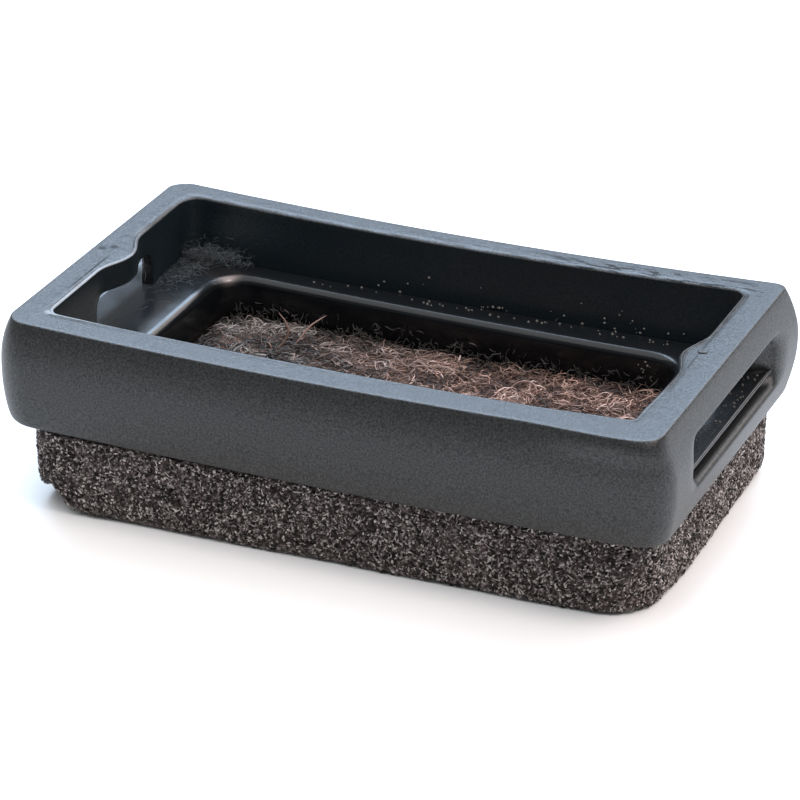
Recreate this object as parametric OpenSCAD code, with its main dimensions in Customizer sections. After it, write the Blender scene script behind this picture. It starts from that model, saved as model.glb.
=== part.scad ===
// Slip-on furniture slider: a soft barrel-walled sleeve round a hard carrier plate,
// with a thick felt sole bonded underneath. The furniture leg drops into the sleeve's
// pocket and stands on the carrier's ledge. Origin: middle of the felt's sole on the
// floor. X runs along the slider, Y across it, Z up.

/* [Leg pocket] */
// Length of the pocket that takes the furniture leg
pocket_l = 54.6; // [44:0.2:80]
// Width of the pocket
pocket_w = 28; // [24:0.2:50]
// Plan radius of the pocket's corners
pocket_r = 1.4; // [0.8:0.1:3]
// Radius of the rounded edge of the pocket's mouth
mouth_round = 0.2; // [0.1:0.05:0.8]

/* [Sleeve] */
// Height of the sleeve from the felt to the rim
sleeve_h = 9.95; // [9:0.05:14]
// Flat width of the rim along the two short ends
rim_end = 2.7; // [2:0.1:5]
// Flat width of the rim along the two long sides
rim_side = 3; // [2:0.1:5]
// Plan radius of the rim's outer corners
rim_r = 1.4; // [1:0.1:5]
// Edge radius where the rim turns down into the wall
rim_round = 0.2; // [0.1:0.05:0.7]
// How far the barrel wall swells past the rim's edge
swell = 1.2; // [0.8:0.05:2]
// Height of the widest line above the sleeve's foot
swell_h = 4.9; // [3:0.1:6]
// How far the foot is drawn in from the widest line
foot_in = 0.9; // [0.6:0.05:2]
// Edge radius under the foot
foot_round = 0.35; // [0.2:0.05:0.5]

/* [End slots] */
// Height of the bridge left above each slot
bridge_h = 2.6; // [1.5:0.1:3.5]
// Length of the window through which each slot opens into the pocket
window_l = 11.2; // [8:0.2:14]
// Thickness of the web round the window
web_t = 1; // [0.6:0.1:1.5]
// Slot length behind the web
slot_in_l = 17.4; // [15:0.2:18]
// Slot length at the widest line of the outer wall
slot_out_l = 22; // [18:0.2:24]
// How far the slots sit off the middle, towards the back
slot_shift = 1; // [0:0.1:1.5]
// Corner radius of the slot, seen from the end
slot_r = 1.6; // [0.5:0.1:2]
// Depth of the flared lip round the slot's mouth
lip = 0.5; // [0.3:0.1:1]

/* [Grip nubs] */
// Length of the nub on each bridge
nub_l = 9; // [6:0.2:14]
// How far the nub stands into the pocket
nub_out = 1.2; // [0.5:0.1:2]

/* [Carrier plate] */
// Thickness of the carrier, from the felt to the ledge
carrier_t = 4.3; // [3.2:0.1:5]
// Width of the ledge at the two short ends, from the pocket wall to the well
ledge_end = 5.2; // [3:0.1:8]
// Width of the ledge along the two long sides
ledge_side = 3.1; // [2:0.1:5]
// Plan radius of the well's corners
well_r = 3; // [1.5:0.1:6]
// Radius of the rounded edge of the well
well_edge = 0.9; // [0.3:0.1:1.2]
// Thickness of the tongues that lock into the slots
tongue_t = 1.15; // [0.8:0.05:1.5]
// How far the tongues lie below the ledge
tongue_drop = 0.2; // [0.1:0.05:0.5]
// Bevel along the tongues' outer edge
tongue_bevel = 0.15; // [0.05:0.05:0.3]
// Play between the carrier and the sleeve
fit_gap = 0.12; // [0.05:0.01:0.3]

/* [Felt sole] */
// How far the felt's sides stand in from the rim's edge
felt_in = 0.7; // [0:0.1:2]
// Thickness of the felt
felt_t = 7.6; // [3:0.1:12]
// Plan radius of the felt's corners
felt_r = 4.3; // [2:0.1:10]
// Worn radius of the felt's lower edge
felt_edge = 0.9; // [0.2:0.1:2]

/* [Bond film] */
// Thickness of the hot-melt film under the carrier and the sleeve
film_t = 0.15; // [0.1:0.01:0.3]
// How far the film stays back from the felt's edge and from the well
film_margin = 0.8; // [0.2:0.1:1.5]

/* [Hidden] */
$fn = 64;
// Cuts run this far past the faces that they open
overrun = 1;
// Segments in each arc of a drawn outline
arc_steps = 8;

// Levels above the floor
film_z = felt_t;
foot_z = film_z + film_t;
rim_z = foot_z + sleeve_h;
ledge_z = foot_z + carrier_t;
tongue_z = ledge_z - tongue_drop;
bridge_z = rim_z - bridge_h;

// Plan sizes of the rim's edge and of the widest line
rim_l = pocket_l + 2 * rim_end;
rim_w = pocket_w + 2 * rim_side;
widest_x = rim_l / 2 + swell;

// Plan sizes of the well and of the felt
well_l = pocket_l - 2 * ledge_end;
well_w = pocket_w - 2 * ledge_side;
felt_l = rim_l - 2 * felt_in;
felt_w = rim_w - 2 * felt_in;

// Barrel wall: one arc above the widest line and one below it, each tangent to the
// upright there and to the small round at its edge
upper_rise = sleeve_h - swell_h - rim_round;
upper_r = (pow(swell, 2) + pow(upper_rise, 2) - pow(rim_round, 2)) / (2 * (swell - rim_round));
upper_tilt = asin(upper_rise / (upper_r - rim_round));
lower_drop = swell_h - foot_round;
lower_r = (pow(foot_in, 2) + pow(lower_drop, 2) - pow(foot_round, 2)) / (2 * (foot_in - foot_round));
lower_tilt = asin(lower_drop / (lower_r - foot_round));

// Slot and tongue: the tongue's neck fills the window and its head fills the slot behind
// the web, less the play on each side
slot_floor_z = tongue_z - tongue_t - fit_gap;
slot_h = bridge_z - slot_floor_z;
corner_limit_share = 0.45;
slot_corner = min(slot_r, slot_h * corner_limit_share);
web_x = pocket_l / 2 + web_t;
slot_taper = (slot_out_l - slot_in_l) / 2 / (widest_x - web_x);

// Points on an arc about a centre, from one angle to another
function arc(centre, radius, from, to) =
    [for (i = [0 : arc_steps])
        let (a = from + (to - from) * i / arc_steps)
        centre + radius * [cos(a), sin(a)]];

// Half length of the slot's plan at a distance from the slider's middle
function slot_half(x) = slot_in_l / 2 + slot_taper * (x - web_x);

// Rounded rectangle about the origin, with true arcs at its corners
module rounded_rect(l, w, r) {
    difference() {
        square([l, w], center = true);
        for (sx = [-1, 1], sy = [-1, 1])
            translate([sx * (l / 2 - r), sy * (w / 2 - r)])
                difference() {
                    translate([sx, sy] * (r + overrun) / 2)
                        square(r + overrun, center = true);
                    circle(r);
                }
    }
}

// Carries an upright profile round a rounded rectangle. The profile starts on the
// corner axis, which runs round a rectangle of axis_l by axis_w, and is h high.
module swept(axis_l, axis_w, h) {
    for (corner = [[1, 1, 0], [-1, 1, 90], [-1, -1, 180], [1, -1, 270]])
        translate([corner[0] * axis_l / 2, corner[1] * axis_w / 2, 0])
            rotate(corner[2])
                rotate_extrude(angle = 90)
                    children();
    for (side = [[axis_l, axis_w, 0], [axis_w, axis_l, 90], [axis_l, axis_w, 180], [axis_w, axis_l, 270]])
        rotate(side[2])
            translate([side[0] / 2, side[1] / 2, 0])
                rotate([90, 0, 0])
                    linear_extrude(side[1])
                        children();
    translate([-axis_l / 2, -axis_w / 2, 0])
        cube([axis_l, axis_w, h]);
}

// A through opening, l by w, whose mouth at height h has a rounded edge
module edged_opening(l, w, r, h, edge) {
    translate([0, 0, -overrun])
        swept(l - 2 * r, w - 2 * r, h + 2 * overrun)
            translate([0, overrun])
                polygon(concat(
                    [[0, -overrun], [r, -overrun]],
                    arc([r + edge, h - edge], edge, 180, 90),
                    [[r + edge, h + overrun], [0, h + overrun]]
                ));
}

// The barrel wall from the corner axis outwards, standing on the sleeve's foot
module barrel_profile() {
    widest = rim_r + swell;
    polygon(concat(
        [[0, 0]],
        arc([widest - foot_in, foot_round], foot_round, -90, -lower_tilt),
        arc([widest - lower_r, swell_h], lower_r, -lower_tilt, 0),
        arc([widest - upper_r, swell_h], upper_r, 0, upper_tilt),
        arc([rim_r, sleeve_h - rim_round], rim_round, upper_tilt, 90),
        [[0, sleeve_h]]
    ));
}

// Places a form at both ends, each off the middle by the same shift
module at_ends(shift = 0) {
    for (turn = [0, 180])
        translate([0, shift, 0])
            rotate(turn)
                children();
}

// Plan of one end slot behind the web, flared at its mouth
module slot_plan() {
    lip_x = widest_x - lip;
    mouth_x = widest_x + lip;
    polygon([
        [web_x, -slot_half(web_x)],
        [lip_x, -slot_half(lip_x)],
        [mouth_x, -slot_half(mouth_x) - lip],
        [mouth_x, slot_half(mouth_x) + lip],
        [lip_x, slot_half(lip_x)],
        [web_x, slot_half(web_x)]
    ]);
}

// Carries an outline, seen from the end and standing on the slot's floor, along X
module along_x(from, to) {
    translate([from, 0, 0])
        rotate([90, 0, 90])
            linear_extrude(to - from)
                children();
}

// Outline of the window, rounded at its upper corners
module window_outline() {
    intersection() {
        translate([-window_l / 2, 0])
            square([window_l, slot_h]);
        translate([0, slot_h / 2 - slot_corner])
            rounded_rect(window_l, slot_h + 2 * slot_corner, slot_corner);
    }
}

// The space of one end slot: the window through the web, and behind it the slot's plan,
// cut to the rounded outline seen from the end
module slot_space() {
    mouth_x = widest_x + lip;
    mouth_l = 2 * slot_half(mouth_x) + 2 * lip;
    translate([0, 0, slot_floor_z]) {
        along_x(pocket_l / 2 - overrun, web_x + web_t / 2)
            window_outline();
        intersection() {
            linear_extrude(slot_h)
                slot_plan();
            along_x(web_x - overrun, mouth_x + overrun)
                translate([0, slot_h / 2])
                    rounded_rect(mouth_l, slot_h, slot_corner);
        }
    }
}

// Smooth swelling on the bridge, a raised cosine in plan, as high as the bridge
module nub() {
    wall_x = pocket_l / 2;
    steps = 2 * arc_steps;
    translate([0, 0, bridge_z])
        linear_extrude(bridge_h)
            polygon(concat(
                [[wall_x + rim_end / 2, -nub_l / 2]],
                [for (i = [0 : steps])
                    let (t = i / steps)
                    [wall_x - nub_out * (1 - cos(360 * t)) / 2, nub_l * (t - 1 / 2)]],
                [[wall_x + rim_end / 2, nub_l / 2]]
            ));
}

// Soft rubber sleeve: barrel wall, leg pocket, a slot through each end and a grip nub
// on the bridge above each slot
module sleeve() {
    color("#3a3c3f") {
        difference() {
            translate([0, 0, foot_z])
                swept(rim_l - 2 * rim_r, rim_w - 2 * rim_r, sleeve_h)
                    barrel_profile();
            translate([0, 0, foot_z])
                edged_opening(pocket_l, pocket_w, pocket_r, sleeve_h, mouth_round);
            at_ends(slot_shift)
                slot_space();
        }
        at_ends()
            nub();
    }
}

// One tongue of the carrier: a neck through the window, and behind the web a wider
// dovetail head, bevelled along its outer edge
module tongue() {
    root_x = pocket_l / 2 - fit_gap - well_edge;
    head_x = web_x + fit_gap;
    end_x = widest_x - fit_gap;
    past_x = end_x + overrun;
    neck_half = window_l / 2 - fit_gap;
    translate([0, 0, tongue_z - tongue_t])
        intersection() {
            translate([0, slot_out_l, 0])
                rotate([90, 0, 0])
                    linear_extrude(2 * slot_out_l)
                        polygon([
                            [root_x, 0],
                            [end_x, 0],
                            [end_x, tongue_t - tongue_bevel],
                            [end_x - tongue_bevel, tongue_t],
                            [root_x, tongue_t]
                        ]);
            translate([0, 0, -overrun])
                linear_extrude(tongue_t + 2 * overrun)
                    polygon([
                        [root_x - overrun, -neck_half],
                        [head_x, -neck_half],
                        [head_x, fit_gap - slot_half(head_x)],
                        [past_x, fit_gap - slot_half(past_x)],
                        [past_x, slot_half(past_x) - fit_gap],
                        [head_x, slot_half(head_x) - fit_gap],
                        [head_x, neck_half],
                        [root_x - overrun, neck_half]
                    ]);
        }
}

// Hard plastic carrier: the ledge that the leg stands on, round an open well, with a
// tongue through each window of the sleeve
module felt_carrier() {
    color("#0d1215")
        union() {
            difference() {
                translate([0, 0, foot_z])
                    linear_extrude(carrier_t)
                        rounded_rect(pocket_l - 2 * fit_gap, pocket_w - 2 * fit_gap, pocket_r - fit_gap);
                translate([0, 0, foot_z])
                    edged_opening(well_l, well_w, well_r, carrier_t, well_edge);
            }
            at_ends(slot_shift)
                tongue();
        }
}

// Hot-melt film that bonds the felt to the carrier and to the sleeve's foot
module bond_film() {
    color("#c8b98e")
        translate([0, 0, film_z])
            linear_extrude(film_t)
                difference() {
                    rounded_rect(felt_l - 2 * film_margin, felt_w - 2 * film_margin, felt_r - film_margin);
                    rounded_rect(well_l + 2 * film_margin, well_w + 2 * film_margin, well_r + film_margin);
                }
}

// Upright profile of the felt from its corner axis outwards
module felt_profile() {
    polygon(concat(
        [[0, 0]],
        arc([felt_r - felt_edge, felt_edge], felt_edge, -90, 0),
        [[felt_r, felt_t], [0, felt_t]]
    ));
}

// Thick felt sole, square above and worn round at its lower edge
module felt_sole() {
    color("#4a4240")
        swept(felt_l - 2 * felt_r, felt_w - 2 * felt_r, felt_t)
            felt_profile();
}

sleeve();
felt_carrier();
bond_film();
felt_sole();
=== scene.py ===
# Slip-on furniture slider: rubber sleeve, hard carrier plate, hot-melt film and thick felt sole.
# Sizes are in millimetres in the row frame and become metres where a mesh is made.
import math

import bpy
import numpy as np
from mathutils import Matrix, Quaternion, Vector


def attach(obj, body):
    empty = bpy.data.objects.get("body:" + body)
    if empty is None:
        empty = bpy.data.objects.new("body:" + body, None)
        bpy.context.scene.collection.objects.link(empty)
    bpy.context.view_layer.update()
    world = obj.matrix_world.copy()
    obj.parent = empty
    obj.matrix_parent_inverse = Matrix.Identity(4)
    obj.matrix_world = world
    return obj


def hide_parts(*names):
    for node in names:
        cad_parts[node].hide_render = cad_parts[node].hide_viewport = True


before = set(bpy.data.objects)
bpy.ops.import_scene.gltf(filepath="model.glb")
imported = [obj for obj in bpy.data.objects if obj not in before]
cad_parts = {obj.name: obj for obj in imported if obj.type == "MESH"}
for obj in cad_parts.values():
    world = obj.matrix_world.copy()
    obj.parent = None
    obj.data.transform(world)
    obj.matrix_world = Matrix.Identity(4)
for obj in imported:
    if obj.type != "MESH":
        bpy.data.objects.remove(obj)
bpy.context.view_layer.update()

# Sleeve. The frame that grips the furniture leg, injection-moulded in dark grey thermoplastic rubber with a
# matte spark-eroded skin outside and a smoother core side within. It is stretched over the carrier, whose
# tongues sit in a slot through each short end; a grip nub stands on the bridge above each slot.
MM = 0.001
SEAT_Z = 7.75
FOOT_Z = 7.85
RIM_Z = 17.7
WIDEST_Z = 12.65
SWELL = 1.2
UPPER_RADIUS = 12.46
LOWER_RADIUS = 19.44
RIM_HALF = (30.0, 17.0)
RIM_ROUND = 0.2
RIM_LEAN = 23.3
FOOT_OUT = 0.3
FOOT_ROUND = 0.35
FOOT_LEAN = -13.8
POCKET_HALF = (27.3, 14.0)
MOUTH_ROUND = 0.2
# The soft corners have not come out alike. Plan radii: front left, front right, back left, back right.
RIM_CORNERS = np.array([2.0, 2.0, 2.2, 1.1])
WIDEST_CORNERS = np.array([3.6, 3.0, 3.0, 1.4])
FOOT_CORNERS = np.array([3.2, 2.4, 4.0, 2.4])
POCKET_CORNERS = np.array([1.0, 0.4, 1.8, 1.3])
SLOT_FLOOR_Z = 10.58
SLOT_TOP_Z = 15.1
SLOT_SHIFT = 1.0
SLOT_HALF_OUT = 11.0
SLOT_HALF_IN = 8.7
SLOT_FLARE = 2.4
SLOT_FLARE_DEPTH = 0.8
WEB_X = 28.3
WINDOW_HALF = 5.6
WINDOW_ROUND = 0.25
NUB_LENGTH = 9.0
NUB_OUT_RIGHT = 1.08
NUB_OUT_LEFT = 1.28


def rounded_loop(ends, sides, corner):
    """One turn round a rounded rectangle, counted in steps per end, per side and per corner.

    Each point is given by its share of the way to the corner axis, kx and ky from -1 to 1, and its normal.
    A point is then k times the half axis plus the normal times the corner radius.
    """
    across = np.linspace(-1, 1, ends, endpoint=False)
    along = np.linspace(-1, 1, sides, endpoint=False)
    turn = np.arange(corner) / corner * math.pi / 2
    one_end = np.ones(ends)
    one_side = np.ones(sides)
    one_corner = np.ones(corner)
    half_kx = np.concatenate([one_end, one_corner, -along, -one_corner])
    half_ky = np.concatenate([across, one_corner, one_side, one_corner])
    half_angle = np.concatenate([0 * one_end, turn, one_side * math.pi / 2, math.pi / 2 + turn])
    angle = np.concatenate([half_angle, half_angle + math.pi])
    kx = np.concatenate([half_kx, -half_kx])
    ky = np.concatenate([half_ky, -half_ky])
    return np.stack([kx, ky, np.cos(angle), np.sin(angle)])


def plan_rows(half, grow, corners, z):
    """Rows for rounded_rows: a plan outline grown by margins, with one or four corner radii, at heights."""
    grow = np.asarray(grow, dtype=float).reshape(-1, 1)
    height = np.broadcast_to(np.asarray(z, dtype=float).reshape(-1, 1), grow.shape)
    radii = np.broadcast_to(corners, (len(grow), 4))
    return np.concatenate([np.asarray(half) + grow, height, radii], axis=1)


def rounded_rows(loop, rows):
    """Stacks rounded rectangles, one per row of half length, half width, height and four corner radii.

    The radius at a point is mixed from the four by its share of the way to each corner.
    """
    a, b, z = (rows[:, i, None] for i in range(3))
    kx, ky, nx, ny = loop
    shares = np.stack([(1 - kx) * (1 - ky), (1 + kx) * (1 - ky), (1 - kx) * (1 + ky), (1 + kx) * (1 + ky)])
    r = rows[:, 3:] @ shares / 4
    x = kx * (a - r) + nx * r
    y = ky * (b - r) + ny * r
    return np.stack([x, y, z + 0 * x], axis=-1)


def grid_quads(rows, columns, close_rows=False):
    """Quads of a grid of points whose columns run round a closed loop, and whose rows may close too."""
    i = np.arange(rows if close_rows else rows - 1)[:, None]
    j = np.arange(columns)[None, :]
    i_next = (i + 1) % rows
    j_next = (j + 1) % columns
    corners = [i * columns + j, i * columns + j_next, i_next * columns + j_next, i_next * columns + j]
    return np.stack(corners, axis=-1).reshape(-1, 4)


def weld(points, quads):
    """Joins points that coincide to a ten-thousandth of a millimetre, so that patches share borders."""
    keys = np.round(points.reshape(-1, 3) * 1e4).astype(np.int64)
    _, first, inverse = np.unique(keys, axis=0, return_index=True, return_inverse=True)
    return points.reshape(-1, 3)[first], inverse.reshape(-1)[quads]


def true_faces(quads):
    """Keeps full quads, turns those with one side of no length into triangles, and drops the rest."""
    same = quads == np.roll(quads, -1, axis=1)
    single = same.sum(axis=1) == 1
    after = (same[single].argmax(axis=1)[:, None] + np.array([1, 2, 3])) % 4
    return quads[~same.any(axis=1)].tolist() + np.take_along_axis(quads[single], after, axis=1).tolist()


def add_piece(name, points, quads, material, attributes=None):
    """Makes a smooth mesh piece from points in millimetres, wound so that its volume is positive."""
    p0, p1, p2, p3 = (points[quads[:, i]] for i in range(4))
    if np.einsum("ij,ij->", np.cross(p2 - p0, p3 - p1), p0 + p1 + p2 + p3) < 0:
        quads = quads[:, ::-1]
    mesh = bpy.data.meshes.new(name)
    mesh.from_pydata(points * MM, [], true_faces(quads))
    for key, values in (attributes or {}).items():
        layer = mesh.attributes.new(key, "FLOAT", "POINT")
        layer.data.foreach_set("value", np.asarray(values, dtype=np.float32))
    mesh.shade_smooth()
    mesh.materials.append(material)
    piece = bpy.data.objects.new(name, mesh)
    bpy.context.scene.collection.objects.link(piece)
    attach(piece, "root")
    return piece


def smooth_step(value):
    """Rises from 0 to 1 with level ends, a cubic in between."""
    share = np.clip(value, 0, 1)
    return share * share * (3 - 2 * share)


def lattice_noise(points, cell, seed):
    """Smooth random values from -1 to 1: numbers on a cubic lattice, blended by cubic steps in each cell."""
    size = 8192
    table = np.random.default_rng(seed).uniform(-1, 1, size)
    place = points / cell
    low = np.floor(place).astype(np.int64)
    share = smooth_step(place - low)
    total = np.zeros(points.shape[:-1])
    for corner in np.ndindex(2, 2, 2):
        step = low + np.array(corner)
        key = (step[..., 0] * 73856093 ^ step[..., 1] * 19349663 ^ step[..., 2] * 83492791) % size
        total += table[key] * np.prod(np.where(corner, share, 1 - share), axis=-1)
    return total


def bow_height(x):
    """The moulded slider is slightly bowed: its height changes with the square of the distance along it."""
    return 0.33 * (x / RIM_HALF[0]) ** 2 - 0.12


def bow(points):
    """Lifts points by the bow."""
    bowed = points.copy()
    bowed[..., 2] += bow_height(points[..., 0])
    return bowed


def barrel(z):
    """How far the wall stands out from the rim's edge: two arcs that meet upright at the widest line."""
    radius = np.where(z > WIDEST_Z, UPPER_RADIUS, LOWER_RADIUS)
    return SWELL - radius + np.sqrt(radius**2 - (z - WIDEST_Z) ** 2)


def inner_rows(v, z):
    """Rows of the pocket wall, opened by v."""
    v = np.asarray(v, dtype=float)
    return plan_rows(POCKET_HALF, v, POCKET_CORNERS + v[:, None], z)


def outer_rows(u, z):
    """Rows of the outer wall, u out from the rim, with corners blended between rim, widest line and foot."""
    up = smooth_step((z - WIDEST_Z) / (RIM_Z - WIDEST_Z))[:, None]
    down = smooth_step((WIDEST_Z - z) / (WIDEST_Z - FOOT_Z))[:, None] ** 1.6
    corners = WIDEST_CORNERS + (RIM_CORNERS - WIDEST_CORNERS) * up + (FOOT_CORNERS - WIDEST_CORNERS) * down
    return plan_rows(RIM_HALF, u, corners, z)


def between(low, high, shares):
    """Rows spread between two rows."""
    return low + (high - low) * np.asarray(shares)[:, None]


SLOT_ROWS = 18
SLOT_COLUMNS = 70
SLOT_TURN = 10
END_STEPS = 76
SIDE_STEPS = 120
CORNER_STEPS = 14
slot_z = np.linspace(9.4, 16.2, SLOT_ROWS + 1)
mouth = np.radians(np.linspace(0, 90, 7))
rim_edge = np.radians(np.linspace(90, RIM_LEAN, 6))
foot_edge = np.radians(np.linspace(FOOT_LEAN, -90, 6))
wall_up = inner_rows(np.zeros(SLOT_ROWS + 6), np.concatenate([[SEAT_Z, 8.3, 8.9], slot_z, [16.6, 17.0]]))
mouth_z = RIM_Z - MOUTH_ROUND + MOUTH_ROUND * np.sin(mouth)
mouth_rows = inner_rows(MOUTH_ROUND - MOUTH_ROUND * np.cos(mouth), mouth_z)
lip_rows = inner_rows([0.23, 0.27, 0.31, 0.35, 0.4, 0.46], RIM_Z)
rim_edge_rows = outer_rows(RIM_ROUND * np.cos(rim_edge), RIM_Z - RIM_ROUND + RIM_ROUND * np.sin(rim_edge))
rim_rows = between(lip_rows[-1], rim_edge_rows[0], [0.2, 0.4, 0.6, 0.8])
down_z = np.concatenate([[17.3, 16.9, 16.5], slot_z[::-1], [9.1, 8.7, 8.35]])
wall_down = outer_rows(barrel(down_z), down_z)
foot_z = FOOT_Z + FOOT_ROUND + FOOT_ROUND * np.sin(foot_edge)
foot_rows = outer_rows(FOOT_OUT + FOOT_ROUND * np.cos(foot_edge), foot_z)
under_rows = between(foot_rows[-1], wall_up[0], [0.35, 0.7])
before_wall = [wall_up, mouth_rows, lip_rows, rim_rows, rim_edge_rows]
sleeve_loop = rounded_loop(END_STEPS, SIDE_STEPS, CORNER_STEPS)
sleeve_grid = rounded_rows(sleeve_loop, np.concatenate([*before_wall, wall_down, foot_rows, under_rows]))
sleeve_quads = grid_quads(*sleeve_grid.shape[:2], close_rows=True)

# The pocket's mouth ends in a low bead with a witness line behind it, strongest at the ends, hardly there
# in front but for the left corner.
lip_first = len(wall_up) + len(mouth_rows) - 2
lip_height = np.array([0.02, 0.06, 0.07, 0.05, -0.04, -0.11, -0.07, 0.0])[:, None]
lip_x, lip_y = sleeve_grid[lip_first + 2, :, 0], sleeve_grid[lip_first + 2, :, 1]
lip_front = 0.15 + 0.6 * smooth_step((-lip_x - 20) / 6)
lip_share = np.where(np.abs(lip_x) > 27.2, 1.0, np.where(lip_y > 0, 0.6, lip_front))
lip_share = lip_share * np.where(lip_x > 0, 0.25 + 0.75 * smooth_step((lip_y + 9) / 4), 1.0)
lip_share = lip_share * (0.75 + 0.5 * lattice_noise(sleeve_grid[lip_first + 2], 1.3, 7))
sleeve_grid[lip_first : lip_first + 8, :, 2] += lip_height * lip_share

inner_slot_rows = 3 + np.arange(SLOT_ROWS + 1)
outer_slot_rows = sum(map(len, before_wall)) + 3 + SLOT_ROWS - np.arange(SLOT_ROWS + 1)
slot_loop = np.roll(
    rounded_loop(SLOT_ROWS - SLOT_TURN, SLOT_COLUMNS - SLOT_TURN, SLOT_TURN), SLOT_TURN // 2, axis=1
)


def border(rows, columns):
    """Points of the sleeve's grid round a rectangle of rows and columns, from its lower far corner."""
    up, over = np.full(SLOT_ROWS, columns[-1]), np.full(SLOT_COLUMNS, rows[-1])
    down, under = np.full(SLOT_ROWS, columns[0]), np.full(SLOT_COLUMNS, rows[0])
    row_list = np.concatenate([rows[:-1], over, rows[:0:-1], under])
    column_list = np.concatenate([up, columns[:0:-1], down, columns[:-1]])
    return sleeve_grid[row_list, column_list]


def slot_patch(outer_border, inner_border, shift):
    """The wall round one slot, its flared mouth, the dovetail tunnel, the web and the window, ring by ring.

    Each ring is a rounded rectangle in Y and Z. The mouth turns in on a quarter ellipse, the tunnel narrows
    evenly to the web, the web closes in to the window, and the window's edge turns out on a quarter circle.
    """
    turn = np.radians(np.linspace(0, 90, 9))
    edge = np.radians(np.linspace(0, 90, 5))
    along = np.linspace(0, 1, 6)[1:]
    web = np.array([0.4, 0.8, 1.0])
    inward = np.array([0.3, 0.6, 0.9])
    tunnel_x = RIM_HALF[0] + SWELL - SLOT_FLARE_DEPTH
    web_share = (tunnel_x - WEB_X) / (tunnel_x - POCKET_HALF[0])
    flare = np.concatenate([1 - np.sin(turn), 0 * along, 0 * web, 0 * inward, 0 * edge])[:, None]
    tunnel = SLOT_HALF_OUT + (SLOT_HALF_IN - SLOT_HALF_OUT) * along
    closing = SLOT_HALF_IN + (WINDOW_HALF - SLOT_HALF_IN) * web
    window = WINDOW_HALF + WINDOW_ROUND * (1 - np.cos(edge))
    half_long = [SLOT_HALF_OUT + 0 * turn, tunnel, closing, WINDOW_HALF + 0 * inward, window]
    half_long = np.concatenate(half_long)[:, None] + SLOT_FLARE * flare
    through = web_share + (1 - web_share) * inward
    share = [0 * turn, web_share * along, web_share + 0 * web, through, 1 + 0 * edge]
    share = np.concatenate(share)[:, None]
    out_depth = np.full(len(share), SLOT_FLARE_DEPTH)[:, None]
    out_depth[: len(turn), 0] *= 1 - np.cos(turn)
    in_depth = np.full(len(share), WINDOW_ROUND)[:, None]
    in_depth[-len(edge) :, 0] *= 1 - np.sin(edge)
    top = SLOT_TOP_Z + 0.3 * flare + (WINDOW_ROUND - in_depth)
    bottom = SLOT_FLOOR_Z - 0.5 * flare
    corner = 1.5 + 0.8 * flare
    ky, kz, ny, nz = slot_loop
    y = shift + ky * (half_long - corner) + ny * corner
    z = (top + bottom) / 2 + kz * ((top - bottom) / 2 - corner) + nz * corner
    x = (1 - share) * (RIM_HALF[0] + barrel(z) - out_depth) + share * (POCKET_HALF[0] + in_depth)
    rings = np.stack([x, y, z], axis=-1)
    spread = np.linspace(0, 1, 6)[1:-1, None, None]
    outside = outer_border + (rings[0] - outer_border) * spread
    outside[..., 0] = RIM_HALF[0] + barrel(outside[..., 2])
    inside = rings[-1] + (inner_border - rings[-1]) * spread
    return np.concatenate([outer_border[None], outside, rings, inside, inner_border[None]])


kept = np.ones(sleeve_grid.shape[:2], dtype=bool)
patches = [sleeve_grid.reshape(-1, 3)]
patch_quads = []
for first_column, sign in ((0, 1.0), (END_STEPS + SIDE_STEPS + 2 * CORNER_STEPS, -1.0)):
    columns = first_column + 3 + np.arange(SLOT_COLUMNS + 1)
    kept[np.ix_(inner_slot_rows[:-1], columns[:-1])] = False
    kept[np.ix_(outer_slot_rows[1:], columns[:-1])] = False
    half_turn = np.array([sign, sign, 1.0])
    outer_border = border(outer_slot_rows, columns) * half_turn
    rings = slot_patch(outer_border, border(inner_slot_rows, columns) * half_turn, sign * SLOT_SHIFT)
    patch_quads.append(grid_quads(*rings.shape[:2])[:, ::-1] + sum(map(len, patches)))
    patches.append((rings * half_turn).reshape(-1, 3))
sleeve_faces = np.concatenate([sleeve_quads[kept.reshape(-1)], *patch_quads])
sleeve_points, sleeve_faces = weld(np.concatenate(patches), sleeve_faces)


def raise_nubs(points):
    """Moves the bridge's inner edge into the pocket by a raised cosine along the end."""
    x, y, z = np.abs(points[:, 0]), points[:, 1], points[:, 2]
    reach = np.where(z > 16.9, 28.0, 29.0)
    weight = np.clip((reach - x) / (reach - 27.7), 0, 1) * (z > SLOT_TOP_Z - 0.02) * (x > 26.5)
    middle = np.where(points[:, 0] > 0, 0.3, 0.0)
    swelling = 0.5 + 0.5 * np.cos(2 * math.pi * np.clip((y - middle) / NUB_LENGTH, -0.5, 0.5))
    out = np.where(points[:, 0] > 0, NUB_OUT_RIGHT, NUB_OUT_LEFT)
    raised = points.copy()
    raised[:, 0] -= np.sign(points[:, 0]) * out * swelling * weight
    return raised


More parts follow.
